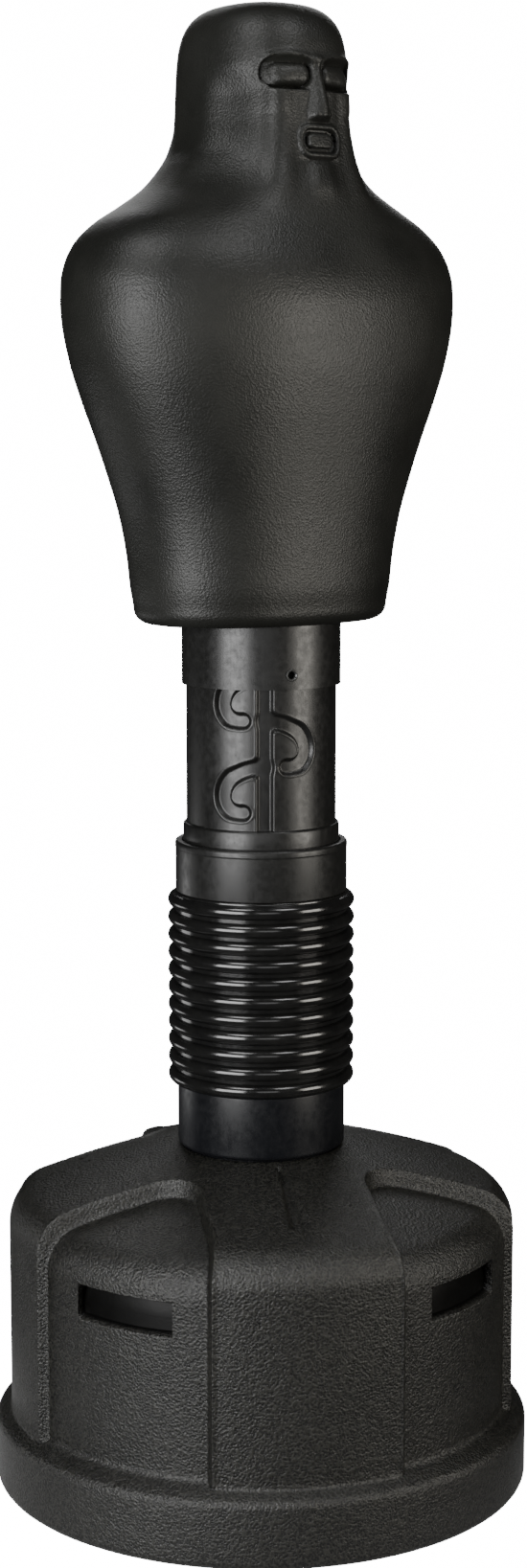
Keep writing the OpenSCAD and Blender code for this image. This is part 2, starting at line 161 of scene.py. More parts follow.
def bump(x, centre, half):
    """1 at centre, falling smoothly to 0 at centre +- half."""
    t = np.clip(np.abs(np.asarray(x, float) - centre) / half, 0, 1)
    return (1 - t * t) ** 2


def arc_points(centre, radius, start, end, steps):
    angles = np.linspace(start, end, steps + 1)
    return [(centre[0] + radius * math.cos(a), centre[1] + radius * math.sin(a)) for a in angles]


def rounded(points, steps=4):
    """Polyline whose corners, given as (r, z, fillet), are replaced by arcs."""
    out = []
    n = len(points)
    for i, p in enumerate(points):
        fillet = p[2] if len(p) > 2 else 0
        here = np.array(p[:2], float)
        if not fillet or i in (0, n - 1):
            out.append(tuple(here))
            continue
        a = np.array(points[i - 1][:2], float) - here
        b = np.array(points[i + 1][:2], float) - here
        a /= np.linalg.norm(a)
        b /= np.linalg.norm(b)
        half = math.acos(max(-1, min(1, float(a @ b)))) / 2
        reach = fillet / math.tan(half)
        centre = here + (a + b) / np.linalg.norm(a + b) * fillet / math.sin(half)
        first = here + a * reach - centre
        last = here + b * reach - centre
        for k in range(steps + 1):
            t = k / steps
            span = math.pi - 2 * half
            w0 = math.sin((1 - t) * span) / math.sin(span)
            w1 = math.sin(t * span) / math.sin(span)
            out.append(tuple(centre + first * w0 + last * w1))
    return out


def stepped(start, end, spacing, finer=()):
    """Values from start to end at about spacing, or less near the (place, reach, spacing) of finer."""
    values = [start]
    while values[-1] < end:
        here = values[-1]
        step = spacing
        for place, reach, fine in finer:
            if abs(here - place) < reach:
                step = min(step, fine)
            elif here < place - reach < here + step:
                step = max(place - reach - here, 1e-6)
        values.append(here + step)
    values[-1] = end
    return values


# ------------------------------------------------------------------ meshes
def mesh_object(name, points, faces, sharp_deg=40):
    """Mesh from points in millimetres and faces as index lists, shaded smooth with sharp corners kept."""
    mesh = bpy.data.meshes.new(name)
    mesh.from_pydata([tuple(p) for p in np.asarray(points, float) * MM], [], [list(f) for f in faces])
    mesh.validate()
    mesh.update()
    obj = bpy.data.objects.new(name, mesh)
    bpy.context.scene.collection.objects.link(obj)
    mesh.polygons.foreach_set("use_smooth", [True] * len(mesh.polygons))
    mesh.set_sharp_from_angle(angle=rad(sharp_deg))
    return obj


def grid_faces(rows, cols, closed_rows=False, flip=False):
    """Quads of a grid of rows by cols points that closes round its columns."""
    i = np.arange(rows if closed_rows else rows - 1)[:, None]
    j = np.arange(cols)[None, :]
    i2 = (i + 1) % rows
    j2 = (j + 1) % cols
    a, b, c, d = i * cols + j, i * cols + j2, i2 * cols + j2, i2 * cols + j
    quads = np.stack(np.broadcast_arrays(a, b, c, d), axis=-1).reshape(-1, 4)
    return quads[:, ::-1] if flip else quads


def full_turn(segments):
    """Evenly spaced angles round a full turn, in radians."""
    return np.arange(segments) / segments * TAU


def turned_points(section, angles):
    """Points of a half section, a list of (r, z), at the given angles in radians, ring after ring."""
    r = np.array([p[0] for p in section])[:, None]
    z = np.array([p[1] for p in section])[:, None] * np.ones((1, len(angles)))
    return np.stack([r * np.cos(angles), r * np.sin(angles), z], -1).reshape(-1, 3)


def lathe(name, section, segments, sharp_deg=40):
    """Solid turned about Z from a half section that runs round its outline anticlockwise."""
    faces = grid_faces(len(section), segments, closed_rows=True, flip=True)
    return mesh_object(name, turned_points(section, full_turn(segments)), faces, sharp_deg)


def finish_piece(obj, material, body=None):
    """Gives a piece its material and, when a body is named, the body it rides on."""
    obj.data.materials.append(MATERIALS[material])
    if body:
        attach(obj, body)
    return obj


# ------------------------------------------------------------------ materials
def set_inputs(node, values):
    """Sets the default values of a node's inputs, by name."""
    for key, value in values.items():
        node.inputs[key].default_value = value


class Nodes:
    """A node material with a Principled shader and short calls for what feeds it."""

    def __init__(self, name, color, roughness, metallic=0.0, specular=0.5, coat=0.0, coat_roughness=0.1):
        self.material = bpy.data.materials.new(name)
        self.material.use_nodes = True
        self.tree = self.material.node_tree
        self.shader = self.tree.nodes["Principled BSDF"]
        set_inputs(self.shader, {
            "Base Color": (*color, 1), "Roughness": roughness, "Metallic": metallic,
            "Specular IOR Level": specular, "Coat Weight": coat, "Coat Roughness": coat_roughness})
        self.place = self.add("ShaderNodeTexCoord").outputs["Object"]

    def add(self, kind, inputs=None, **values):
        node = self.tree.nodes.new(kind)
        for key, value in values.items():
            setattr(node, key, value)
        set_inputs(node, inputs or {})
        return node

    def link(self, a, b):
        self.tree.links.new(a, b)

    def stretched(self, scale):
        mapping = self.add("ShaderNodeMapping", {"Scale": scale})
        self.link(self.place, mapping.inputs["Vector"])
        return mapping.outputs["Vector"]

    def noise(self, scale, detail=3.0, roughness=0.55, vector=None):
        node = self.add("ShaderNodeTexNoise", {"Scale": scale, "Detail": detail, "Roughness": roughness})
        self.link(vector or self.place, node.inputs["Vector"])
        return node.outputs["Fac"]

    def cells(self, scale, feature="F1", smoothness=0.5):
        node = self.add("ShaderNodeTexVoronoi", {"Scale": scale}, feature=feature)
        if feature == "SMOOTH_F1":
            node.inputs["Smoothness"].default_value = smoothness
        self.link(self.place, node.inputs["Vector"])
        return node.outputs["Distance"]

    def ramp(self, value, low, high, a, b):
        """Value from low..high turned into a..b, which are numbers or colours."""
        if isinstance(a, (int, float)):
            node = self.add("ShaderNodeMapRange", {
                "From Min": low, "From Max": high, "To Min": a, "To Max": b})
            self.link(value, node.inputs["Value"])
            return node.outputs["Result"]
        node = self.add("ShaderNodeValToRGB")
        for stop, place, color in zip(node.color_ramp.elements, (low, high), (a, b)):
            stop.position = place
            stop.color = (*color, 1)
        self.link(value, node.inputs["Fac"])
        return node.outputs["Color"]

    def sum(self, a, b, weight=1.0):
        node = self.add("ShaderNodeMath", operation="MULTIPLY_ADD")
        self.link(b, node.inputs[0])
        node.inputs[1].default_value = weight
        self.link(a, node.inputs[2])
        return node.outputs[0]

    def product(self, a, b):
        node = self.add("ShaderNodeMath", operation="MULTIPLY")
        self.link(a, node.inputs[0])
        self.link(b, node.inputs[1])
        return node.outputs[0]

    def color(self, socket):
        self.link(socket, self.shader.inputs["Base Color"])

    def roughness(self, socket):
        self.link(socket, self.shader.inputs["Roughness"])

    def relief(self, height, strength, distance_mm):
        """Bumps of the given height field; strength is a number or what feeds it."""
        node = self.add("ShaderNodeBump", {"Distance": distance_mm * MM})
        if isinstance(strength, float):
            node.inputs["Strength"].default_value = strength
        else:
            self.link(strength, node.inputs["Strength"])
        self.link(height, node.inputs["Height"])
        self.link(node.outputs["Normal"], self.shader.inputs["Normal"])
        return self


def torso_vinyl():
    """Satin dark skin with a fine leathery grain and slow changes of tone."""
    m = Nodes("torso_vinyl", (0.02, 0.02, 0.018), 0.42, specular=0.4)
    tone = m.noise(9, detail=4)
    m.color(m.ramp(tone, 0.3, 0.75, (0.007, 0.0073, 0.0062), (0.0145, 0.0147, 0.0125)))
    fine = m.noise(900, detail=2)
    pores = m.cells(430, "SMOOTH_F1")
    m.roughness(m.sum(m.ramp(tone, 0.3, 0.7, 0.36, 0.45), m.ramp(fine, 0.3, 0.7, 0.0, 0.06)))
    return m.relief(m.sum(pores, fine, 0.6), 0.6, 0.6).material


def hand_hold_mask(m):
    """1 inside the hand-holds of the tank and 0 outside them; it also darkens the tank's colour there as
    painted shade.
    """
    flat = m.add("ShaderNodeVectorMath", operation="MULTIPLY")
    m.link(m.place, flat.inputs[0])
    flat.inputs[1].default_value = (1, 1, 0)
    length = m.add("ShaderNodeVectorMath", operation="LENGTH")
    m.link(flat.outputs["Vector"], length.inputs[0])
    split = m.add("ShaderNodeSeparateXYZ")
    m.link(m.place, split.inputs[0])
    deep = m.ramp(length.outputs["Value"], (POCKET_BACK + 20) * MM, (POCKET_BACK + 26) * MM, 1.0, 0.0)
    under_top = m.ramp(split.outputs["Z"], (POCKET_TOP + 2.5) * MM, (POCKET_TOP + 4) * MM, 1.0, 0.0)
    over_low = m.ramp(split.outputs["Z"], (POCKET_LOW - 2) * MM, (POCKET_LOW - 0.5) * MM, 0.0, 1.0)
    return m.product(m.product(deep, under_top), over_low)


def tank_plastic():
    """Black moulded polyethylene with a coarse pebbled grain, smooth in the hand-holds, where painted shade
    darkens its colour.
    """
    m = Nodes("tank_plastic", (0.02, 0.02, 0.018), 0.42, specular=0.5)
    pebbles = m.cells(340, "SMOOTH_F1", 0.3)
    fine = m.noise(620, detail=3, roughness=0.7)
    worn = m.noise(60, detail=4)
    grain = m.sum(pebbles, fine, 0.9)
    hold = hand_hold_mask(m)
    grain_tone_and_hold_shade = m.sum(m.ramp(grain, 0.65, 1.1, 0.0, 0.8), m.noise(14, detail=5), 0.3)
    # painted shade: the colour is darkened inside the hand-holds, as if the recess were in shadow
    grain_tone_and_hold_shade = m.sum(grain_tone_and_hold_shade, hold, -1.0)
    m.color(m.ramp(grain_tone_and_hold_shade, 0.35, 0.95, (0.002, 0.002, 0.0018), (0.021, 0.0207, 0.0178)))
    rough = m.sum(m.ramp(worn, 0.3, 0.7, 0.24, 0.33), m.ramp(fine, 0.3, 0.7, 0.0, 0.06))
    m.roughness(m.sum(rough, hold, 0.08))
    m.link(m.ramp(hold, 0, 1, 0.5, 0.12), m.shader.inputs["Specular IOR Level"])
    return m.relief(grain, m.ramp(hold, 0, 1, 0.75, 0.05), 1.15).material


def pole_plastic(name="pole_plastic", tint=(0.0085, 0.0085, 0.008), rough=0.34, specular=0.5):
    """Semi-gloss black tube with faint draw lines along it and light scuffs."""
    m = Nodes(name, tint, rough, specular=specular)
    tone = m.noise(11, detail=3)
    dark = tuple(c * 0.75 for c in tint)
    m.color(m.ramp(tone, 0.3, 0.7, dark, tuple(c * 1.25 for c in tint)))
    lines = m.noise(1.0, detail=3, vector=m.stretched((420, 420, 7)))
    scuffs = m.noise(130, detail=3, roughness=0.6)
    worn = m.ramp(scuffs, 0.35, 0.7, rough - 0.05, rough + 0.09)
    m.roughness(m.sum(worn, m.ramp(lines, 0.3, 0.7, 0, 0.04)))
    return m.relief(lines, 0.10, 0.2).material


def bellows_gloss():
    """Glossy black ribbed plastic, with a slightly wavy surface."""
    m = Nodes("bellows_gloss", (0.012, 0.012, 0.012), 0.17, specular=0.55, coat=0.25, coat_roughness=0.12)
    tone = m.noise(30, detail=3)
    m.color(m.ramp(tone, 0.3, 0.7, (0.005, 0.005, 0.005), (0.01, 0.01, 0.0095)))
    dust = m.noise(240, detail=5, roughness=0.7)
    m.roughness(m.ramp(dust, 0.35, 0.75, 0.13, 0.26))
    return m.relief(m.sum(m.noise(70, detail=2), dust, 0.3), 0.12, 0.4).material


def steel(name, tint, rough, scale=(300, 300, 20)):
    """Metal with fine brushed streaks."""
    m = Nodes(name, tint, rough, metallic=1.0)
    streaks = m.noise(1.0, detail=3, vector=m.stretched(scale))
    m.color(m.ramp(streaks, 0.25, 0.8, tuple(c * 0.8 for c in tint), tint))
    m.roughness(m.ramp(streaks, 0.25, 0.8, rough - 0.06, rough + 0.12))
    return m.relief(streaks, 0.12, 0.15).material


def painted_steel():
    """Black powder coat with its orange-peel surface."""
    m = Nodes("painted_steel", (0.03, 0.03, 0.03), 0.45)
    peel = m.noise(520, detail=2)
    m.color(m.ramp(m.noise(25), 0.3, 0.7, (0.022, 0.022, 0.022), (0.038, 0.038, 0.037)))
    m.roughness(m.ramp(peel, 0.3, 0.7, 0.38, 0.52))
    return m.relief(peel, 0.25, 0.3).material


def seal_rubber():
    """Matt black rubber with a dusty bloom."""
    m = Nodes("seal_rubber", (0.02, 0.02, 0.02), 0.8)
    bloom = m.noise(190, detail=4)
    m.color(m.ramp(bloom, 0.35, 0.75, (0.015, 0.015, 0.015), (0.035, 0.035, 0.034)))
    m.roughness(m.ramp(bloom, 0.3, 0.7, 0.7, 0.88))
    return m.relief(m.noise(900), 0.2, 0.1).material


def foam_block():
    """Cream open-cell foam."""
    m = Nodes("foam_block", (0.7, 0.62, 0.44), 0.95)
    cells = m.cells(330, "F1")
    m.color(m.ramp(cells, 0.1, 0.7, (0.52, 0.44, 0.28), (0.8, 0.72, 0.54)))
    m.roughness(m.ramp(m.noise(40), 0.3, 0.7, 0.88, 0.98))
    return m.relief(cells, 0.8, 1.2).material


def glide_nylon():
    """Natural nylon, slightly polished where it runs."""
    m = Nodes("glide_nylon", (0.72, 0.7, 0.62), 0.4)
    wear = m.noise(80, detail=4)
    m.color(m.ramp(wear, 0.3, 0.7, (0.62, 0.6, 0.52), (0.78, 0.76, 0.7)))
    m.roughness(m.ramp(wear, 0.3, 0.7, 0.3, 0.5))
    return m.relief(wear, 0.1, 0.2).material


MATERIALS = {
    "torso": torso_vinyl(),
    "tank": tank_plastic(),
    "pole": pole_plastic(),
    "peg": pole_plastic("peg_plastic", (0.03, 0.03, 0.029), 0.3),
    "sleeve": pole_plastic("sleeve_plastic", (0.0042, 0.0046, 0.006), 0.33, 0.34),
    "cap": pole_plastic("cap_plastic", (0.024, 0.024, 0.024), 0.42),
    "bellows": bellows_gloss(),
    "zinc": steel("zinc_steel", (0.62, 0.62, 0.6), 0.34),
    "spring": steel("spring_steel", (0.32, 0.32, 0.33), 0.36, (120, 120, 120)),
    "brass": steel("insert_brass", (0.75, 0.55, 0.24), 0.32),
    "painted": painted_steel(),
    "seal": seal_rubber(),
    "foam": foam_block(),
    "nylon": glide_nylon(),
}

NODE_MATERIALS = {
    "base_tank": "tank", "fill_cap": "cap", "fill_cap_seal": "seal", "well_inserts": "brass",
    "neck_sleeve": "sleeve", "lower_spring_mount": "painted", "lower_mount_washers": "zinc",
    "lower_mount_bolts": "zinc", "flex_bellows": "bellows", "flex_spring": "spring",
    "upper_spring_mount": "painted", "upper_cuff": "pole", "adjuster_tube": "pole",
    "upper_mount_washers": "zinc", "upper_mount_bolts": "zinc", "upper_mount_nuts": "zinc",
    "tube_top_plug": "cap", "glide_ring": "nylon", "mandrel": "pole", "mandrel_cap": "cap",
    "lock_pegs": "pole", "torso_foam": "foam", "torso_skin": "torso",
}


def dress_cad_nodes():
    for node, key in NODE_MATERIALS.items():
        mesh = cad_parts[node].data
        mesh.materials.clear()
        mesh.materials.append(MATERIALS[key])


# ------------------------------------------------------------------ base tank
def tank_profile(inset, drop):
    """Outer half section of the tank from its underside to the well, with the panels' inset and drop."""
    foot = arc_points((TANK_RING_R - 10, 10), 10, -math.pi / 2, 0, 6)
    wall = [(TANK_RING_R, 30), (TANK_RING_R, 50)]
    brow = arc_points((TANK_RING_R - 12, TANK_RING_H - 12), 12, 0, rad(60), 6)
    face = TANK_WALL_R - inset
    foot_z = brow[-1][1] + (brow[-1][0] - face) * math.tan(rad(30))
    start = brow[-1]
    fall = [(start[0] + (face - start[0]) * t, start[1] + (foot_z - start[1]) * t) for t in (0.35, 0.7, 0.93)]
    low = foot_z + 2.2
    turn = (TANK_WALL_R - TANK_SHOULDER_R - inset, TANK_SHOULDER_Z - drop)
    heights = tank_wall_heights()
    share = (np.array(heights) - heights[0]) / (heights[-1] - heights[0])
    side = [(face, low + (turn[1] - low) * s) for s in share]
    shoulder = arc_points(turn, TANK_SHOULDER_R, 0, TANK_SHOULDER_END, 24)[1:]
    end = shoulder[-1]
    dome_centre = (end[0] - TANK_DOME_R * math.cos(TANK_SHOULDER_END),
                   end[1] - TANK_DOME_R * math.sin(TANK_SHOULDER_END))
    inner = math.acos((WELL_R + 2.4 - dome_centre[0]) / TANK_DOME_R)
    dome = arc_points(dome_centre, TANK_DOME_R, TANK_SHOULDER_END, inner, 84)[1:]
    return foot + wall + brow + fall + side + shoulder + dome


def tank_wall_heights():
    fine = [(POCKET_LOW, 2.4, 0.45), (POCKET_LOW + 7, 6, 0.9), (POCKET_TOP - 1.5, 3.5, 0.9), (262, 12, 3.0)]
    return stepped(87.0, TANK_SHOULDER_Z, 5.5, fine)


def tank_angles():
    """Angles round the tank in degrees, closer together at panel edges, pocket ends and parting lines."""
    pocket = math.degrees(math.asin(POCKET_HALF / (TANK_WALL_R - PANEL_IN)))
    fine = []
    for k in range(4):
        middle = PANEL_PHI + 90 * k
        hold = middle + (POCKET_SHIFT if k % 2 == 0 else -POCKET_SHIFT)
        for side in (-1, 1):
            fine.append((hold + side * (pocket - 0.35), 0.55, 0.16))
            fine.append((middle + side * 23.2, 1.9, 0.33))
    fine += [(PARTING_PHI, 0.5, 0.1), (PARTING_PHI + 180, 0.5, 0.1)]
    start = PANEL_PHI - 45
    return np.array(stepped(start, start + 360, 0.6, sorted(fine))[:-1])


def panel_depth(u, v):
    """How far inside a side panel's outline a point seen from above is; negative outside."""
    apex, half, corner, reach = 150.0, 20.0, (246.0, 111.0), (303.0, 131.0)
    v = np.abs(v)

    def below(a, b):
        d = np.array([b[0] - a[0], b[1] - a[1]])
        d /= np.linalg.norm(d)
        return (u - a[0]) * d[1] - (v - a[1]) * d[0]

    return smooth_min([u - apex, below((apex, half), corner), below(corner, reach)], 16)


def tank_shell():
    """Tank with its foot ring, sunk panels, hand-holds, parting lines and the well for the sleeve."""
    angles = tank_angles()
    plain = np.array(tank_profile(0, 0))
    sunk = np.array(tank_profile(PANEL_IN, PANEL_DROP))
    phi = np.radians(angles)
    r0, z0 = plain[:, :1], plain[:, 1:]
    r1, z1 = sunk[:, :1], sunk[:, 1:]
    off = (angles[None, :] - PANEL_PHI + 45) % 90 - 45
    u, v = r0 * np.cos(np.radians(off)), r0 * np.sin(np.radians(off))
    width = 6.0
    depth = panel_depth(u, v)
    inside = ramp_between(depth, 0, width, 0.22) * smooth(z0, 60, 84)
    bead = 1.8 * bump(depth, -1.5, 3.4) * smooth(z0, 84, 92)
    r = r0 + (r1 - r0) * inside
    z = z0 + (z1 - z0) * inside
    steep = smooth(z0, 350, 300)
    r, z = r + bead * steep, z + bead * (1 - steep)
    # hand-holds, each a little nearer to its parting line than the panel's middle
    shift = np.where((angles[None, :] - PANEL_PHI + 45) // 90 % 2 == 0, POCKET_SHIFT, -POCKET_SHIFT)
    own = off - shift
    u, v = r * np.cos(np.radians(own)), r * np.sin(np.radians(own))
    ends = smooth(np.abs(v), POCKET_HALF, POCKET_HALF - 2.6)
    roof = smooth(z, POCKET_TOP, POCKET_TOP - 2.4)
    floor = ramp_between(z, POCKET_LOW + 0.5, POCKET_LOW + 11, 0.17)
    depth = ends * roof * floor * (r0 > 200)
    u = u + (POCKET_BACK - u) * depth
    # parting line, proud of the wall
    seam = np.minimum(np.abs(angles - PARTING_PHI), np.abs(angles - PARTING_PHI - 180))[None, :]
    proud = 0.55 * smooth(seam, 0.30, 0.12) * smooth(z, 12, 20) * smooth(r0, 150, 230)
    # shallow wedge between the sleeve and the parting line
    track = np.minimum(np.abs(off - 45), np.abs(off + 45)) * math.pi / 180 * r0
    at_seam = (np.abs((angles[None, :] - PARTING_PHI + 90) % 180 - 90) < 20)
    spread = 2 + 7 * smooth(r0, 100, 225)
    wedge = at_seam * smooth(track, spread + 1.6, spread - 1.2) * smooth(r0, 98, 110) * smooth(r0, 227, 223)
    z = z - 4.2 * wedge * (z0 > 330)
    x_local = u + proud * np.cos(np.radians(own))
    y_local = v + proud * np.sin(np.radians(own))
    middle = np.radians(angles[None, :] - own)
    x = x_local * np.cos(middle) - y_local * np.sin(middle)
    y = x_local * np.sin(middle) + y_local * np.cos(middle)
    rows, cols = x.shape
    rim_z = z0[-1, 0]
    well = [(WELL_R + 1.2, rim_z - 0.1), (WELL_R, rim_z - 1.6), (WELL_R, WELL_Z), (40, WELL_Z), (2, WELL_Z)]
    under = [(2, 8), (120, 8), (209, 8), (215, 7.2), (223, 0.8), (229, 0)]
    outside = np.stack([x, y, np.broadcast_to(z, x.shape)], -1).reshape(-1, 3)
    points = np.concatenate([turned_points(under, phi), outside, turned_points(well, phi)])
    total = rows + len(under) + len(well)
    faces = [list(f) for f in grid_faces(total, cols)]
    faces.append(list(range(cols))[::-1])
    faces.append([(total - 1) * cols + j for j in range(cols)])
    obj = mesh_object("tank_shell", points, clear_of_fill_neck(points, faces, 320, 25), 50)
    finish_piece(obj, "tank", "base")
    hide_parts("base_tank")
    return obj


def fill_place():
    low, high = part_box("fill_cap")
    return ((low.x + high.x) / 2 / MM, (low.y + high.y) / 2 / MM)


def clear_of_fill_neck(points, faces, above, reach):
    """Faces less those above a height and within reach of the fill neck's axis, to open its bore."""
    x, y = fill_place()
    kept = []
    for f in faces:
        c = points[f].mean(0)
        if c[2] <= above or math.hypot(c[0] - x, c[1] - y) >= reach:
            kept.append(list(f))
    return kept


def move_mm(obj, x, y):
    obj.data.transform(Matrix.Translation((x * MM, y * MM, 0)))
    return obj


def fill_neck():
    """Threaded neck on the dome with its bore running into the tank."""
    x, y = fill_place()
    top = 402.0
    section = [(22, 330), (28, 330), (29, 352)]
    for k in range(4):
        z = 378 + 5.2 * k
        section += [(29.0, z - 1.7), (29.9, z - 0.5), (29.9, z + 0.5), (29.0, z + 1.7)]
    section += [(29.0, top - 1), (28.2, top), (22.8, top), (22, top - 0.8)]
    obj = move_mm(lathe("fill_neck", section, 96), x, y)
    return finish_piece(obj, "tank", "base")


def tank_lining():
    """Inner surface of the tank, seen down the fill neck."""
    section = [(2, 12), (208, 12), (228, 5), (292, 6), (299, 14), (299, 66), (283, 80), (270, 90), (270, 262),
               (262, 296), (236, 318), (180, 334), (94, 350), (93.4, 295), (2, 295)]
    segments = 128
    points = turned_points(section, full_turn(segments))
    faces = grid_faces(len(section), segments, flip=True)
    obj = mesh_object("tank_lining", points, clear_of_fill_neck(points, faces, 300, 24))
    return finish_piece(obj, "tank", "base")


# ------------------------------------------------------------------ sleeve, cuff and collar
def lower_sleeve():
    """Sleeve that stands in the tank's well on a flange, with a rounded shoulder on the dome."""
    low = WELL_Z + 0.3
    flange_hole, flange_t, wall, shoulder_z = 40, 5.7, 4.5, 388
    section = rounded([
        (flange_hole, low, 0), (SPIGOT_R, low, 1.5), (SPIGOT_R, shoulder_z, 0.8), (SLEEVE_R, shoulder_z, 5.6),
        (SLEEVE_R, SLEEVE_TOP, 1.2), (SLEEVE_R - wall, SLEEVE_TOP, 0.8), (SLEEVE_R - wall, 424, 0),
        (SPIGOT_R - wall, 418, 0), (SPIGOT_R - wall, low + flange_t, 0), (flange_hole, low + flange_t, 0)], 5)
    obj = lathe("lower_sleeve", section, 192)
    finish_piece(obj, "sleeve", "base")
    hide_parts("neck_sleeve")


def seam_angles(seams):
    """Angles round a turned piece in degrees, finer at its parting lines."""
    start = min(seams) - 90
    fine = [(s, 0.9, 0.22) for s in sorted(seams)]
    return np.array(stepped(start, start + 360, 2.0, fine)[:-1])


def seamed_lathe(name, section, seams, proud, face_from):
    """Turned piece with thin parting lines, raised or sunk, where its radius is over face_from."""
    angles = seam_angles(seams)
    r = np.array([p[0] for p in section])[:, None]
    z = np.array([p[1] for p in section])[:, None]
    nearest = np.min([np.abs((angles - s + 180) % 360 - 180) for s in seams], axis=0)[None, :]
    r = r + proud * smooth(nearest, 0.75, 0.25) * (r > face_from)
    phi = np.radians(angles)
    points = np.stack([r * np.cos(phi), r * np.sin(phi), np.broadcast_to(z, r.shape)], -1)
    return mesh_object(name, points.reshape(-1, 3), grid_faces(len(section), len(angles), True, True))


def cuff_shell():
    """Cuff between the bellows and the tube: an inner ledge that is bolted, and a rounded rim on top."""
    bore, outside, low = CUFF_R - 4.6, CUFF_R - 0.4, bottom_of("upper_cuff")
    section = rounded([
        (bore, low, 0), (outside, low, 1.2), (outside, CUFF_TOP - 9, 1.0),
        (CUFF_R, CUFF_TOP - 7.5, 1.0), (CUFF_R, CUFF_TOP, 3.6), (STEP_R + 1.8, CUFF_TOP, 1.2),
        (STEP_R + 0.5, CUFF_TOP - 2.5, 0.6), (STEP_R + 0.4, CUFF_TOP - 6, 0), (bore, CUFF_TOP - 10, 0),
        (bore, LEDGE_TOP, 0), (LEDGE_R, LEDGE_TOP, 0), (LEDGE_R, LEDGE_LOW, 0), (bore, LEDGE_LOW, 0)], 5)
    seams = [POLE_PARTING_PHI, POLE_PARTING_PHI + 180]
    obj = seamed_lathe("cuff_shell", section, seams, -0.8, CUFF_R - 1)
    finish_piece(obj, "pole", "pole")
    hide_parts("upper_cuff")


# ------------------------------------------------------------------ bellows
def bellows_rows():
    """Outer surface of the bellows, rib by rib, from the bottom up."""
    out = [(86.8, 430.5), (89.4, 430.5), (89.7, 431), (89.7, BELLOWS_LOW), (96.8, BELLOWS_LOW),
           (BELLOWS_BODY_R, BELLOWS_LOW + 0.8)]
    centre_r = RIB_OUT - RIB_R
    for k in range(RIB_COUNT):
        z = FIRST_RIB + RIB_PITCH * k
        reach = math.acos((BELLOWS_BODY_R - centre_r) / RIB_R) - 0.12
        out += [(BELLOWS_BODY_R, z - RIB_R - 0.35)] if k else []
        for p in arc_points((centre_r, z), RIB_R, -reach, reach, 14):
            out.append((max(p[0], BELLOWS_BODY_R), p[1]))
        out.append((BELLOWS_BODY_R, z + RIB_R + 0.35))
    out += [(BELLOWS_BODY_R, BELLOWS_TOP - 0.8), (96.8, BELLOWS_TOP), (92.0, BELLOWS_TOP), (92.0, 692.6),
            (91.6, 693), (89.0, 693)]
    return out


def bellows_lining():
    """Inner surface of the bellows, from the top down."""
    out = [(89.0, BELLOWS_TOP - 4), (93.4, BELLOWS_TOP - 4.5)]
    for k in reversed(range(RIB_COUNT)):
        z = FIRST_RIB + RIB_PITCH * k
        out += [(93.4, z + 4.2), (96.8, z + 3.4), (99.6, z), (96.8, z - 3.4), (93.4, z - 4.2)]
    out += [(93.4, BELLOWS_LOW + 4.2), (86.8, BELLOWS_LOW + 4)]
    return out


def split_at(rows, z, keep_below):
    """Rows of a section on one side of a height, cut there."""
    out = []
    for a, b in zip(rows, rows[1:] + [None]):
        inside = (a[1] <= z) == keep_below
        if inside:
            out.append(a)
        if b is not None and (a[1] <= z) != (b[1] <= z):
            t = (z - a[1]) / (b[1] - a[1])
            out.append((a[0] + (b[0] - a[0]) * t, z))
    return out


def bellows_half(name, keep_below):
    """Lower or upper half of the bellows, cut between its middle ribs."""
    middle = FIRST_RIB + RIB_PITCH * (RIB_COUNT // 2) + RIB_PITCH / 2
    section = split_at(bellows_rows(), middle, keep_below) + split_at(bellows_lining(), middle, keep_below)
    obj = lathe(name, section, 176, sharp_deg=60)
    finish_piece(obj, "bellows")
    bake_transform(obj)
    return obj


def bellows():
    lower = bellows_half("bellows_lower", True)
    upper = bellows_half("bellows_upper", False)
    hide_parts("flex_bellows")
    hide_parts("flex_bellows")


# ------------------------------------------------------------------ spring
def coil_height(turn):
    """Height of the wire's middle at a turn, with one closed turn at each end."""
    closed = 2 * WIRE_SPACE + 0.4
    pitch = (SPRING_HIGH - SPRING_LOW - 2 * WIRE_SPACE - 2 * closed) / (SPRING_TURNS - 2)
    open_turns = max(0, min(turn, SPRING_TURNS - 1) - 1)
    last = max(0, turn - SPRING_TURNS + 1)
    return SPRING_LOW + WIRE_SPACE + closed * min(turn, 1) + pitch * open_turns + closed * last


def coil_part(name, first, last):
    """Stretch of the coil spring between two turns."""
    steps, sides = 40, 14
    count = int(round((last - first) * steps))
    points = []
    for i in range(count + 1):
        turn = first + (last - first) * i / count
        a = turn * TAU
        grown = WIRE_R if 0 < i < count else WIRE_R * 0.97
        for j in range(sides):
            w = TAU * j / sides
            r = SPRING_R + grown * math.cos(w)
            points.append((r * math.cos(a), r * math.sin(a), coil_height(turn) + grown * math.sin(w)))
    faces = [list(f) for f in grid_faces(count + 1, sides, flip=True)]
    faces.append(list(range(sides)))
    faces.append([count * sides + j for j in reversed(range(sides))])
    obj = mesh_object(name, points, faces, 50)
    finish_piece(obj, "spring")
    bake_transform(obj)
    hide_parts("flex_spring")


def spring():
    coil_part("spring_lower", 0, SPRING_TURNS / 2)
    coil_part("spring_upper", SPRING_TURNS / 2, SPRING_TURNS)


# ------------------------------------------------------------------ adjuster tube
def hook_line():
    """Middle line of one hook on the flat: along the surface from the channel, and up from its seat."""
    reach, rise, base, seat, end = 48.5, 32.7, 18.0, 28.0, 24.5
    line = [(reach * math.cos(a), base + rise * math.sin(a)) for a in np.linspace(math.pi / 2, 0, 22)]
    below = np.linspace(0, -math.pi / 2, 16)[1:]
    line += [(seat + (reach - seat) * math.cos(a), base + base * math.sin(a)) for a in below]
    line += [(end, 0.3)]
    return np.array(line)


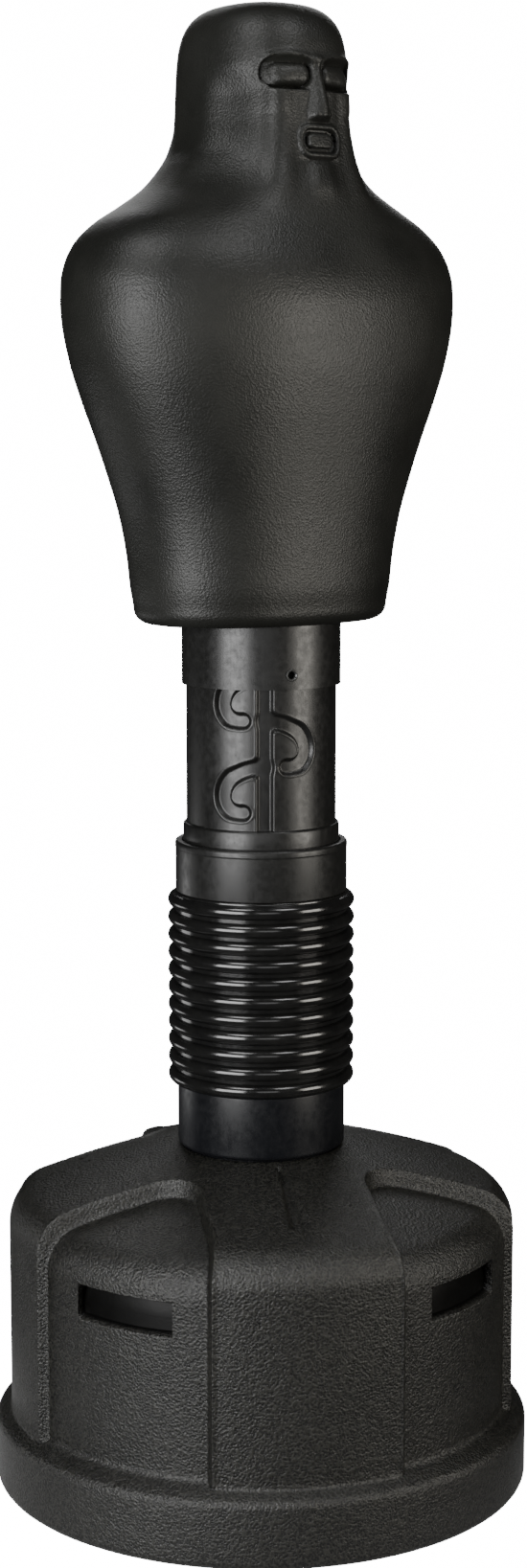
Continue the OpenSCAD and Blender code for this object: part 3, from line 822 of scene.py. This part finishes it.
def distance_to_line(s, z, line):
    """Distance from points (s, z) to a line of straight stretches."""
    best = np.full(s.shape, 1e9)
    for a, b in zip(line, line[1:]):
        d = b - a
        t = np.clip(((s - a[0]) * d[0] + (z - a[1]) * d[1]) / (d @ d), 0, 1)
        best = np.minimum(best, np.hypot(s - a[0] - t * d[0], z - a[1] - t * d[1]))
    return best


def groove_distance(s, z):
    """Distance on the flat to the middle of the nearest channel or hook, rounded off where they meet."""
    channel = np.where(z > STEP_TOP, np.abs(s), np.hypot(s, z - STEP_TOP))
    hooks = np.full(s.shape, 1e3)
    line = hook_line()
    for level in range(1, LEVELS + 1):
        side = 1 if level % 2 == 0 else -1
        seat = FIRST_LEVEL + (level - 1) * LEVEL_PITCH
        hooks = np.minimum(hooks, distance_to_line(side * s, z - seat, line))
    entry = smooth(hooks, 24, 8)
    return smooth_min([channel, hooks], 0.5 + 6.5 * entry)


def grooved_tube():
    """Tube with a step at its foot, and the channel and hooks sunk in its two sides."""
    fine = [(CHANNEL_PHI + 360, 45, 0.68), (CHANNEL_PHI + 180, 45, 0.68)]
    angles = np.array(stepped(0, 360, 3.0, sorted(fine))[:-1])
    outside = [(70, TUBE_FOOT), (STEP_R - 1, TUBE_FOOT), (STEP_R, TUBE_FOOT + 1), (STEP_R, CUFF_TOP - 1),
               (STEP_R, CUFF_TOP + 4), (STEP_R, STEP_TOP - 2.2), (STEP_R - 0.6, STEP_TOP - 0.8),
               (STEP_R - 2.0, STEP_TOP), (TUBE_R + 0.5, STEP_TOP + 0.05)]
    outside += [(TUBE_R, z) for z in stepped(STEP_TOP + 0.6, TUBE_TOP - 1.2, 1.0)]
    outside += [(TUBE_R - 0.4, TUBE_TOP - 0.3), (TUBE_R - 1.2, TUBE_TOP)]
    floor_z, floor_hole = 720, 30
    inside = [(TUBE_BORE_R + 0.6, TUBE_TOP), (TUBE_BORE_R, TUBE_TOP - 0.8), (TUBE_BORE_R, 900),
              (TUBE_BORE_R, floor_z), (floor_hole, floor_z), (floor_hole, TUBE_FOOT)]
    profile = outside + inside
    r = np.array([p[0] for p in profile])[:, None] * np.ones((1, len(angles)))
    z = np.array([p[1] for p in profile])[:, None] * np.ones((1, len(angles)))
    off = (angles - CHANNEL_PHI + 90) % 180 - 90
    near = np.abs(off) < 50
    s = np.radians(off[near])[None, :] * TUBE_R
    carved = (r[:, near] > TUBE_BORE_R + 2) & (z[:, near] > STEP_TOP)
    d = groove_distance(np.broadcast_to(s, (len(profile), near.sum())), z[:, near])
    half = 9.8 + 1.9 * smooth(np.abs(s), 32, 47)
    sink = -5.3 * smooth(d, half, half - 3.8)
    lip = 0.3 * bump(d, half + 0.9, 1.3)
    r[:, near] += np.where(carved, sink + lip, 0)
    phi = np.radians(angles)
    points = np.stack([r * np.cos(phi), r * np.sin(phi), z], -1)
    faces = grid_faces(len(profile), len(angles), True, True)
    obj = mesh_object("grooved_tube", points.reshape(-1, 3), faces, 50)
    finish_piece(obj, "pole", "pole")
    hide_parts("adjuster_tube")


def peg_rings():
    """Tubular pegs with a rounded rim that stands just proud of the collar."""
    section = rounded([(4.2, 84.6, 0), (5.9, 84.6, 0), (5.9, 88.4, 0), (6.9, 88.6, 0), (6.9, 89.5, 0.5),
                       (5.6, 90.0, 0.4), (4.2, 88.6, 0.4)], 3)
    low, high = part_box("lock_pegs")
    for k, phi in enumerate((PEG_PHI, PEG_PHI + 180)):
        obj = lathe("peg_ring_%d" % (k + 1), section, 40)
        stand = Matrix.Rotation(rad(phi), 4, "Z") @ Matrix.Rotation(math.pi / 2, 4, "Y")
        obj.data.transform(Matrix.Translation((0, 0, (low.z + high.z) / 2)) @ stand)
        finish_piece(obj, "peg", "torso")
        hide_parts("lock_pegs")


# ------------------------------------------------------------------ torso
# Sections from the hem up: height, half width, half depth, roundness.
SECTIONS = np.array([
    [1003, 151, 105.5, 2.3], [1024, 154.5, 109.5, 2.3], [1056, 158, 112, 2.3], [1099, 166.5, 116.5, 2.3],
    [1141, 180, 122.5, 2.3], [1184, 196, 129.5, 2.3], [1226, 213, 137, 2.3], [1268, 227.5, 143.5, 2.3],
    [1310, 236.5, 147, 2.3], [1330, 238, 147.5, 2.3], [1351, 238, 145.5, 2.3], [1372, 234, 140.5, 2.3],
    [1392, 224, 132.5, 2.3], [1413, 202, 123.5, 2.25], [1434, 165.5, 116, 2.2], [1454, 134, 111, 2.15],
    [1475, 112, 106, 2.15], [1495, 95.5, 102.5, 2.25], [1521, 85.2, 99.5, 2.35], [1550, 83, 98, 2.4],
    [1600, 82, 96.5, 2.4]])
CROWN_START = 1550.0
CROWN_POWER = 3.6
HEM_R = 17.0
FACE_LOW = 1475
FACE_DEPTH = 14.0


def smooth_through(x, xs, ys):
    """Smooth curve through points, without overshoot between them."""
    h = np.diff(xs)
    d = np.diff(ys) / h
    m = np.zeros(len(xs))
    m[1:-1] = np.where(d[:-1] * d[1:] > 0, 2 * d[:-1] * d[1:] / (d[:-1] + d[1:] + 1e-12), 0)
    m[0], m[-1] = d[0], 0
    k = np.clip(np.searchsorted(xs, x) - 1, 0, len(xs) - 2)
    t = (x - xs[k]) / h[k]
    return ((2 * t ** 3 - 3 * t ** 2 + 1) * ys[k] + (t ** 3 - 2 * t ** 2 + t) * h[k] * m[k]
            + (3 * t ** 2 - 2 * t ** 3) * ys[k + 1] + (t ** 3 - t ** 2) * h[k] * m[k + 1])


def torso_rows(spacing, fine_spacing):
    """Heights of the torso's rings from the hem up, and the share by which the crown closes at each."""
    finest = [(1486.5, 5, 0.9), (1554, 4.5, 0.75)]
    heights = stepped(TORSO_LOW + HEM_R, FACE_LOW, spacing)
    heights += stepped(FACE_LOW + fine_spacing, 1602, fine_spacing, finest)
    crown = [TORSO_TOP - (TORSO_TOP - CROWN_START) * (1 - t) ** 1.9 for t in np.linspace(0.29, 0.985, 34)]
    return np.array(sorted(heights + [z for z in crown if z > 1603]))


def torso_size(z):
    """Half width, half depth and roundness of the torso at heights z."""
    inner = np.clip(z, SECTIONS[0, 0], SECTIONS[-1, 0])
    a, b, n = (smooth_through(inner, SECTIONS[:, 0], SECTIONS[:, k]) for k in (1, 2, 3))
    rise = np.clip((z - CROWN_START) / (TORSO_TOP - CROWN_START), 0, 1)
    close = (1 - rise ** CROWN_POWER) ** (1 / CROWN_POWER)
    return a * close, b * close, n


def section_points(a, b, n, angles, inset=0.0):
    """Superellipse rings; a, b and n are columns and angles a row, in radians."""
    c, s = np.cos(angles), np.sin(angles)
    x = (a - inset) * np.sign(c) * np.abs(c) ** (2 / n)
    y = (b - inset) * np.sign(s) * np.abs(s) ** (2 / n)
    return x, y


def rounded_box(x, z, cx, cz, hx, hz, corner):
    """Signed distance to a rounded rectangle, negative inside."""
    qx, qz = np.abs(x - cx) - hx + corner, np.abs(z - cz) - hz + corner
    outside = np.hypot(np.maximum(qx, 0), np.maximum(qz, 0))
    return outside + np.minimum(np.maximum(qx, qz), 0) - corner


def roll(distance, reach):
    """Half-round swelling, 1 at reach or more inside a signed distance's edge and 0 outside it."""
    t = np.clip(-distance / reach, 0, 1)
    return np.sqrt(1 - (1 - t) ** 2)


def nose(ax, z):
    half = 9.0 + 6.0 * smooth(z, 1562, 1532)
    rise = 2.5 * smooth(z, 1592, 1580) + 10.5 * smooth(z, 1579, 1533)
    ridge = np.clip(1 - (ax / half) ** 2, 0, 1) ** 1.25 * smooth(z, 1518.5, 1526)
    wings = 3.4 * bump(ax, 10.5, 6.0) * bump(z, 1527.5, 8.5)
    return rise * ridge + wings


def brow(ax, z):
    line = 1585 + 4.0 * np.exp(-((ax - 34) / 16) ** 2)
    ridge = 3.5 * np.exp(-((z - line) / 4.4) ** 2) * smooth(ax, 68, 54)
    frown = -1.5 * bump(ax, 4.2, 2.4) * bump(z, 1576, 10)
    return ridge + frown


def eyes(ax, z):
    socket = rounded_box(ax, z, 33, 1570.3, 27.5, 18.2, 17)
    hollow = -8.0 * smooth(socket, 0.5, -2.0) * smooth(z, 1591, 1577)
    rim = 1.4 * bump(socket, 1.7, 3.0) * smooth(ax, 44, 53)
    lid = 7.6 * roll(rounded_box(ax, z, 30, 1568.5, 22.5, 11.0, 10), 9.0)
    slit = -5.0 * bump(z, 1554.6, 3.0) * smooth(ax, 57, 50) * smooth(ax, 9, 14)
    return hollow + rim + lid + slit


def cheeks(ax, z):
    bone = 1.2 * bump(ax, 52, 24) * bump(z, 1540, 20)
    crease = -0.9 * bump(z, 1527, 5.5) * bump(ax, 50, 16)
    return bone + crease


def mouth(ax, z):
    ring = rounded_box(ax, z, 0, 1499.3, 25.5, 15.2, 13)
    lips = 3.8 * np.sqrt(np.clip(1 - (ring / 3.6) ** 2, 0, 1))
    gap = -3.2 * smooth(ring, -2.2, -4.4)
    pad = rounded_box(ax, z, 0, 1499.6, 16.6, 8.4, 6.5)
    lip = 6.6 * roll(pad, 2.6)
    under = -2.4 * smooth(z, 1486, 1478) * smooth(z, 1450, 1476) * smooth(ax, 36, 8)
    return lips + gap + lip + under


def throat(ax, z):
    return 2.6 * smooth(ax, 23, 6) * smooth(z, 1482, 1473) * smooth(z, 1432, 1462)


def face_relief(x, z):
    """How far the face stands out of the head's plain form."""
    ax = np.abs(x)
    return nose(ax, z) + brow(ax, z) + eyes(ax, z) + cheeks(ax, z) + mouth(ax, z) + throat(ax, z)


def pinch(turn, z):
    """How far the lower face's sides are drawn in, by degrees round from its middle."""
    flat = 7.5 * bump(turn, 56, 30) - 4.2 * bump(turn, 27, 12)
    return flat * smooth(z, 1418, 1470) * smooth(z, 1582, 1545)


def torso_angles():
    """Angles round the torso in radians, closest together over the face, which is at -90 degrees."""
    fine = [(270, 52, 0.62)]
    return np.radians(np.array(stepped(90, 450, 2.2, fine)[:-1]))


def inside_rings(heights, angles, gap):
    """Rings that lie a gap inside the torso's outside, and further in at the hem and behind the face."""
    a, b, n = torso_size(np.maximum(heights, TORSO_LOW + HEM_R))
    inset = gap + HEM_R * np.clip(1 - (heights - TORSO_LOW) / HEM_R, 0, 1) ** 2
    inset = inset + FACE_DEPTH * smooth(heights, 1430, 1455)
    x, y = section_points(a[:, None], b[:, None], n[:, None], angles[None, :], inset[:, None])
    return np.stack([x, y, np.broadcast_to(heights[:, None], x.shape)], -1).reshape(-1, 3)


def hem_rows():
    """Shares by which the torso closes round its hem: (height above the hem's underside, inset)."""
    angles = np.linspace(0, math.pi / 2, 9)[:-1]
    return [(HEM_R * (1 - math.cos(a)), HEM_R * (1 - math.sin(a))) for a in angles]


def torso_skin():
    """Torso and head in one closed skin: hem, outside with the face, crown, and the inside."""
    angles = torso_angles()
    rings = []
    hole = 89.4
    a0, b0, n0 = (float(v) for v in torso_size(np.array(TORSO_LOW + HEM_R)))
    circle = np.stack([np.cos(angles), np.sin(angles)], -1)
    for up in (SKIN_T, 1.5, 0.4):
        rings.append(np.column_stack([circle * hole, np.full(len(angles), TORSO_LOW + up)]))
    rings.append(np.column_stack([circle * (hole + 0.9), np.full(len(angles), TORSO_LOW + 0.02)]))
    for share in (0.25, 0.6):
        hx, hy = section_points(a0 - HEM_R, b0 - HEM_R, n0, angles)
        flat = circle * (hole + 1) * (1 - share) + np.column_stack([hx, hy]) * share
        away = np.linalg.norm(flat, axis=1)[:, None]
        flat = flat * np.maximum(away, hole + 1.2) / away
        rings.append(np.column_stack([flat, np.full(len(angles), TORSO_LOW)]))
    for up, inset in hem_rows():
        x, y = section_points(a0 - inset, max(b0 - inset, 1), n0, angles)
        rings.append(np.column_stack([x, y, np.full(len(angles), TORSO_LOW + up)]))
    heights = torso_rows(5.5, 1.55)
    a, b, n = torso_size(heights)
    x, y = section_points(a[:, None], b[:, None], n[:, None], angles[None, :])
    z = np.broadcast_to(heights[:, None], x.shape)
    front = smooth(-y, 5, 40)
    turn = np.degrees(np.abs(np.arctan2(x, -y)))
    drawn = 1 - pinch(turn, z) / np.hypot(x, y)
    x, y = x * drawn, y * drawn
    y = y - face_relief(x, z) * front
    for k in range(len(heights)):
        rings.append(np.column_stack([x[k], y[k], z[k]]))
    points = np.concatenate(rings)
    cols = len(angles)
    faces = [list(f) for f in grid_faces(len(rings), cols)]
    last = (len(rings) - 1) * cols
    points = np.concatenate([points, [[0, 0, TORSO_TOP - 0.02]]])
    faces += [[last + j, last + (j + 1) % cols, len(points) - 1] for j in range(cols)]
    # inner surface, from the hem's hole up to the inside of the crown
    first = len(points)
    inner_heights = np.array(stepped(TORSO_LOW + SKIN_T, TORSO_TOP - SKIN_T - 14, 16.0))
    inside = inside_rings(inner_heights, angles, SKIN_T)
    points = np.concatenate([points, inside, [[0, 0, TORSO_TOP - SKIN_T - 2]]])
    faces += [[int(v) + first for v in f] for f in grid_faces(len(inner_heights), cols, flip=True)]
    last = first + (len(inner_heights) - 1) * cols
    faces += [[last + (j + 1) % cols, last + j, len(points) - 1] for j in range(cols)]
    faces += [[first + j, first + (j + 1) % cols, (j + 1) % cols, j] for j in range(cols)]
    obj = mesh_object("torso_and_head", points, faces, 60)
    finish_piece(obj, "torso", "torso")
    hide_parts("torso_skin")
    return obj


def foam_core():
    """Foam inside the skin, with the mandrel's bore left free."""
    segments = 96
    angles = full_turn(segments)
    heights = np.array(stepped(TORSO_LOW + SKIN_T + 0.5, TORSO_TOP - SKIN_T - 15, 18.0))
    outer = inside_rings(heights, angles, SKIN_T + 1.0)
    bore_r, bore_top = COLLAR_FACE_R + 0.3, top_of("mandrel_cap") + 0.3
    circle = np.stack([np.cos(angles), np.sin(angles)], -1) * bore_r
    bore = [np.column_stack([circle, np.full(segments, z)]) for z in (bore_top, heights[0])]
    points = np.concatenate([[[0, 0, bore_top]], *bore, outer, [[0, 0, TORSO_TOP - SKIN_T - 4]]])
    rows = 2 + len(heights)
    faces = [[int(v) + 1 for v in f] for f in grid_faces(rows, segments)]
    faces += [[0, 1 + (j + 1) % segments, 1 + j] for j in range(segments)]
    last = 1 + (rows - 1) * segments
    faces += [[last + j, last + (j + 1) % segments, len(points) - 1] for j in range(segments)]
    obj = mesh_object("foam_core", points, faces)
    finish_piece(obj, "foam", "torso")
    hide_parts("torso_foam")


# ------------------------------------------------------------------ camera, lights, floor
BACKDROP = 16.0


def camera():
    """Lens level with the chest, 38 degrees to the side the mannequin doesn't face."""
    turn, distance, height, tilt = rad(38), 3.1119, 1.2410, 0.141
    focal_px, frame_px, off_px = 2918.0, 1637.0, 2.5
    data = bpy.data.cameras.new("camera")
    data.sensor_fit = "VERTICAL"
    data.sensor_height = 36.0
    data.lens = focal_px / frame_px * data.sensor_height
    data.shift_x = off_px / frame_px
    obj = bpy.data.objects.new("camera", data)
    obj.location = (-distance * math.sin(turn), -distance * math.cos(turn), height)
    obj.rotation_euler = (math.pi / 2 - tilt, 0, -turn)
    bpy.context.scene.collection.objects.link(obj)
    bpy.context.scene.camera = obj


def area_light(name, azimuth, distance, height, size, power, target_z=0.9, color=(1, 1, 1)):
    """Soft box at an azimuth round the object, in degrees from the camera's side, facing it."""
    data = bpy.data.lights.new(name, "AREA")
    data.shape = "RECTANGLE"
    data.size, data.size_y = size
    data.energy = power
    data.color = color
    obj = bpy.data.objects.new(name, data)
    a = rad(-128 + azimuth)
    obj.location = (distance * math.cos(a), distance * math.sin(a), height)
    aim = Vector((0, 0, target_z)) - obj.location
    obj.rotation_euler = aim.to_track_quat("-Z", "Y").to_euler()
    obj.visible_camera = False
    bpy.context.scene.collection.objects.link(obj)


def studio():
    """White surroundings for the camera, and soft boxes left, right, in front, overhead and behind."""
    world = bpy.data.worlds.new("studio")
    world.use_nodes = True
    nodes, links = world.node_tree.nodes, world.node_tree.links
    back = nodes["Background"]
    back.inputs["Strength"].default_value = 0.015
    seen = nodes.new("ShaderNodeBackground")
    seen.inputs["Strength"].default_value = BACKDROP
    path = nodes.new("ShaderNodeLightPath")
    mix = nodes.new("ShaderNodeMixShader")
    for node in (back, seen):
        set_inputs(node, {"Color": (1, 1, 1, 1)})
    links.new(path.outputs["Is Camera Ray"], mix.inputs["Fac"])
    links.new(back.outputs[0], mix.inputs[1])
    links.new(seen.outputs[0], mix.inputs[2])
    links.new(mix.outputs[0], nodes["World Output"].inputs["Surface"])
    bpy.context.scene.world = world
    area_light("key_left", -38, 2.6, 0.98, (1.6, 1.5), 88, 1.0)
    area_light("key_right", 64, 2.6, 1.02, (1.2, 1.4), 46, 1.0, (1.0, 0.96, 0.88))
    area_light("front", 8, 3.7, 1.4, (1.7, 1.4), 12, 0.9)
    area_light("high_left", -38, 1.4, 2.95, (0.9, 0.8), 20, 0.6)
    area_light("high_right", 45, 1.4, 2.95, (0.8, 0.8), 15, 0.6)
    area_light("low_back", -118, 2.0, 0.2, (0.8, 0.4), 2.5, 0.2)
    area_light("high_back", 180, 2.1, 2.3, (1.5, 1.2), 16, 0.7)
    mesh = bpy.data.meshes.new("floor")
    half, level = 6.0, -0.0005
    corners = [(-half, -half, level), (half, -half, level), (half, half, level), (-half, half, level)]
    mesh.from_pydata(corners, [], [(0, 1, 2, 3)])
    floor = bpy.data.objects.new("floor", mesh)
    bpy.context.scene.collection.objects.link(floor)
    paper = Nodes("studio_floor", (0.03, 0.03, 0.03), 0.9, specular=0.1)
    paper.shader.inputs["Emission Color"].default_value = (1, 1, 1, 1)
    away = paper.add("ShaderNodeVectorMath", operation="DISTANCE")
    paper.link(paper.place, away.inputs[0])
    away.inputs[1].default_value = (-0.12, 0.09, 0)
    glow = paper.ramp(away.outputs["Value"], 0.3, 0.62, 0.4, 0.02)
    seen = paper.add("ShaderNodeLightPath").outputs["Is Camera Ray"]
    paper.link(paper.sum(glow, seen, BACKDROP), paper.shader.inputs["Emission Strength"])
    mesh.materials.append(paper.material)


dress_cad_nodes()
camera()
studio()
tank_shell()
fill_neck()
tank_lining()
lower_sleeve()
cuff_shell()
bellows()
spring()
grooved_tube()
peg_rings()
torso_skin()
foam_core()
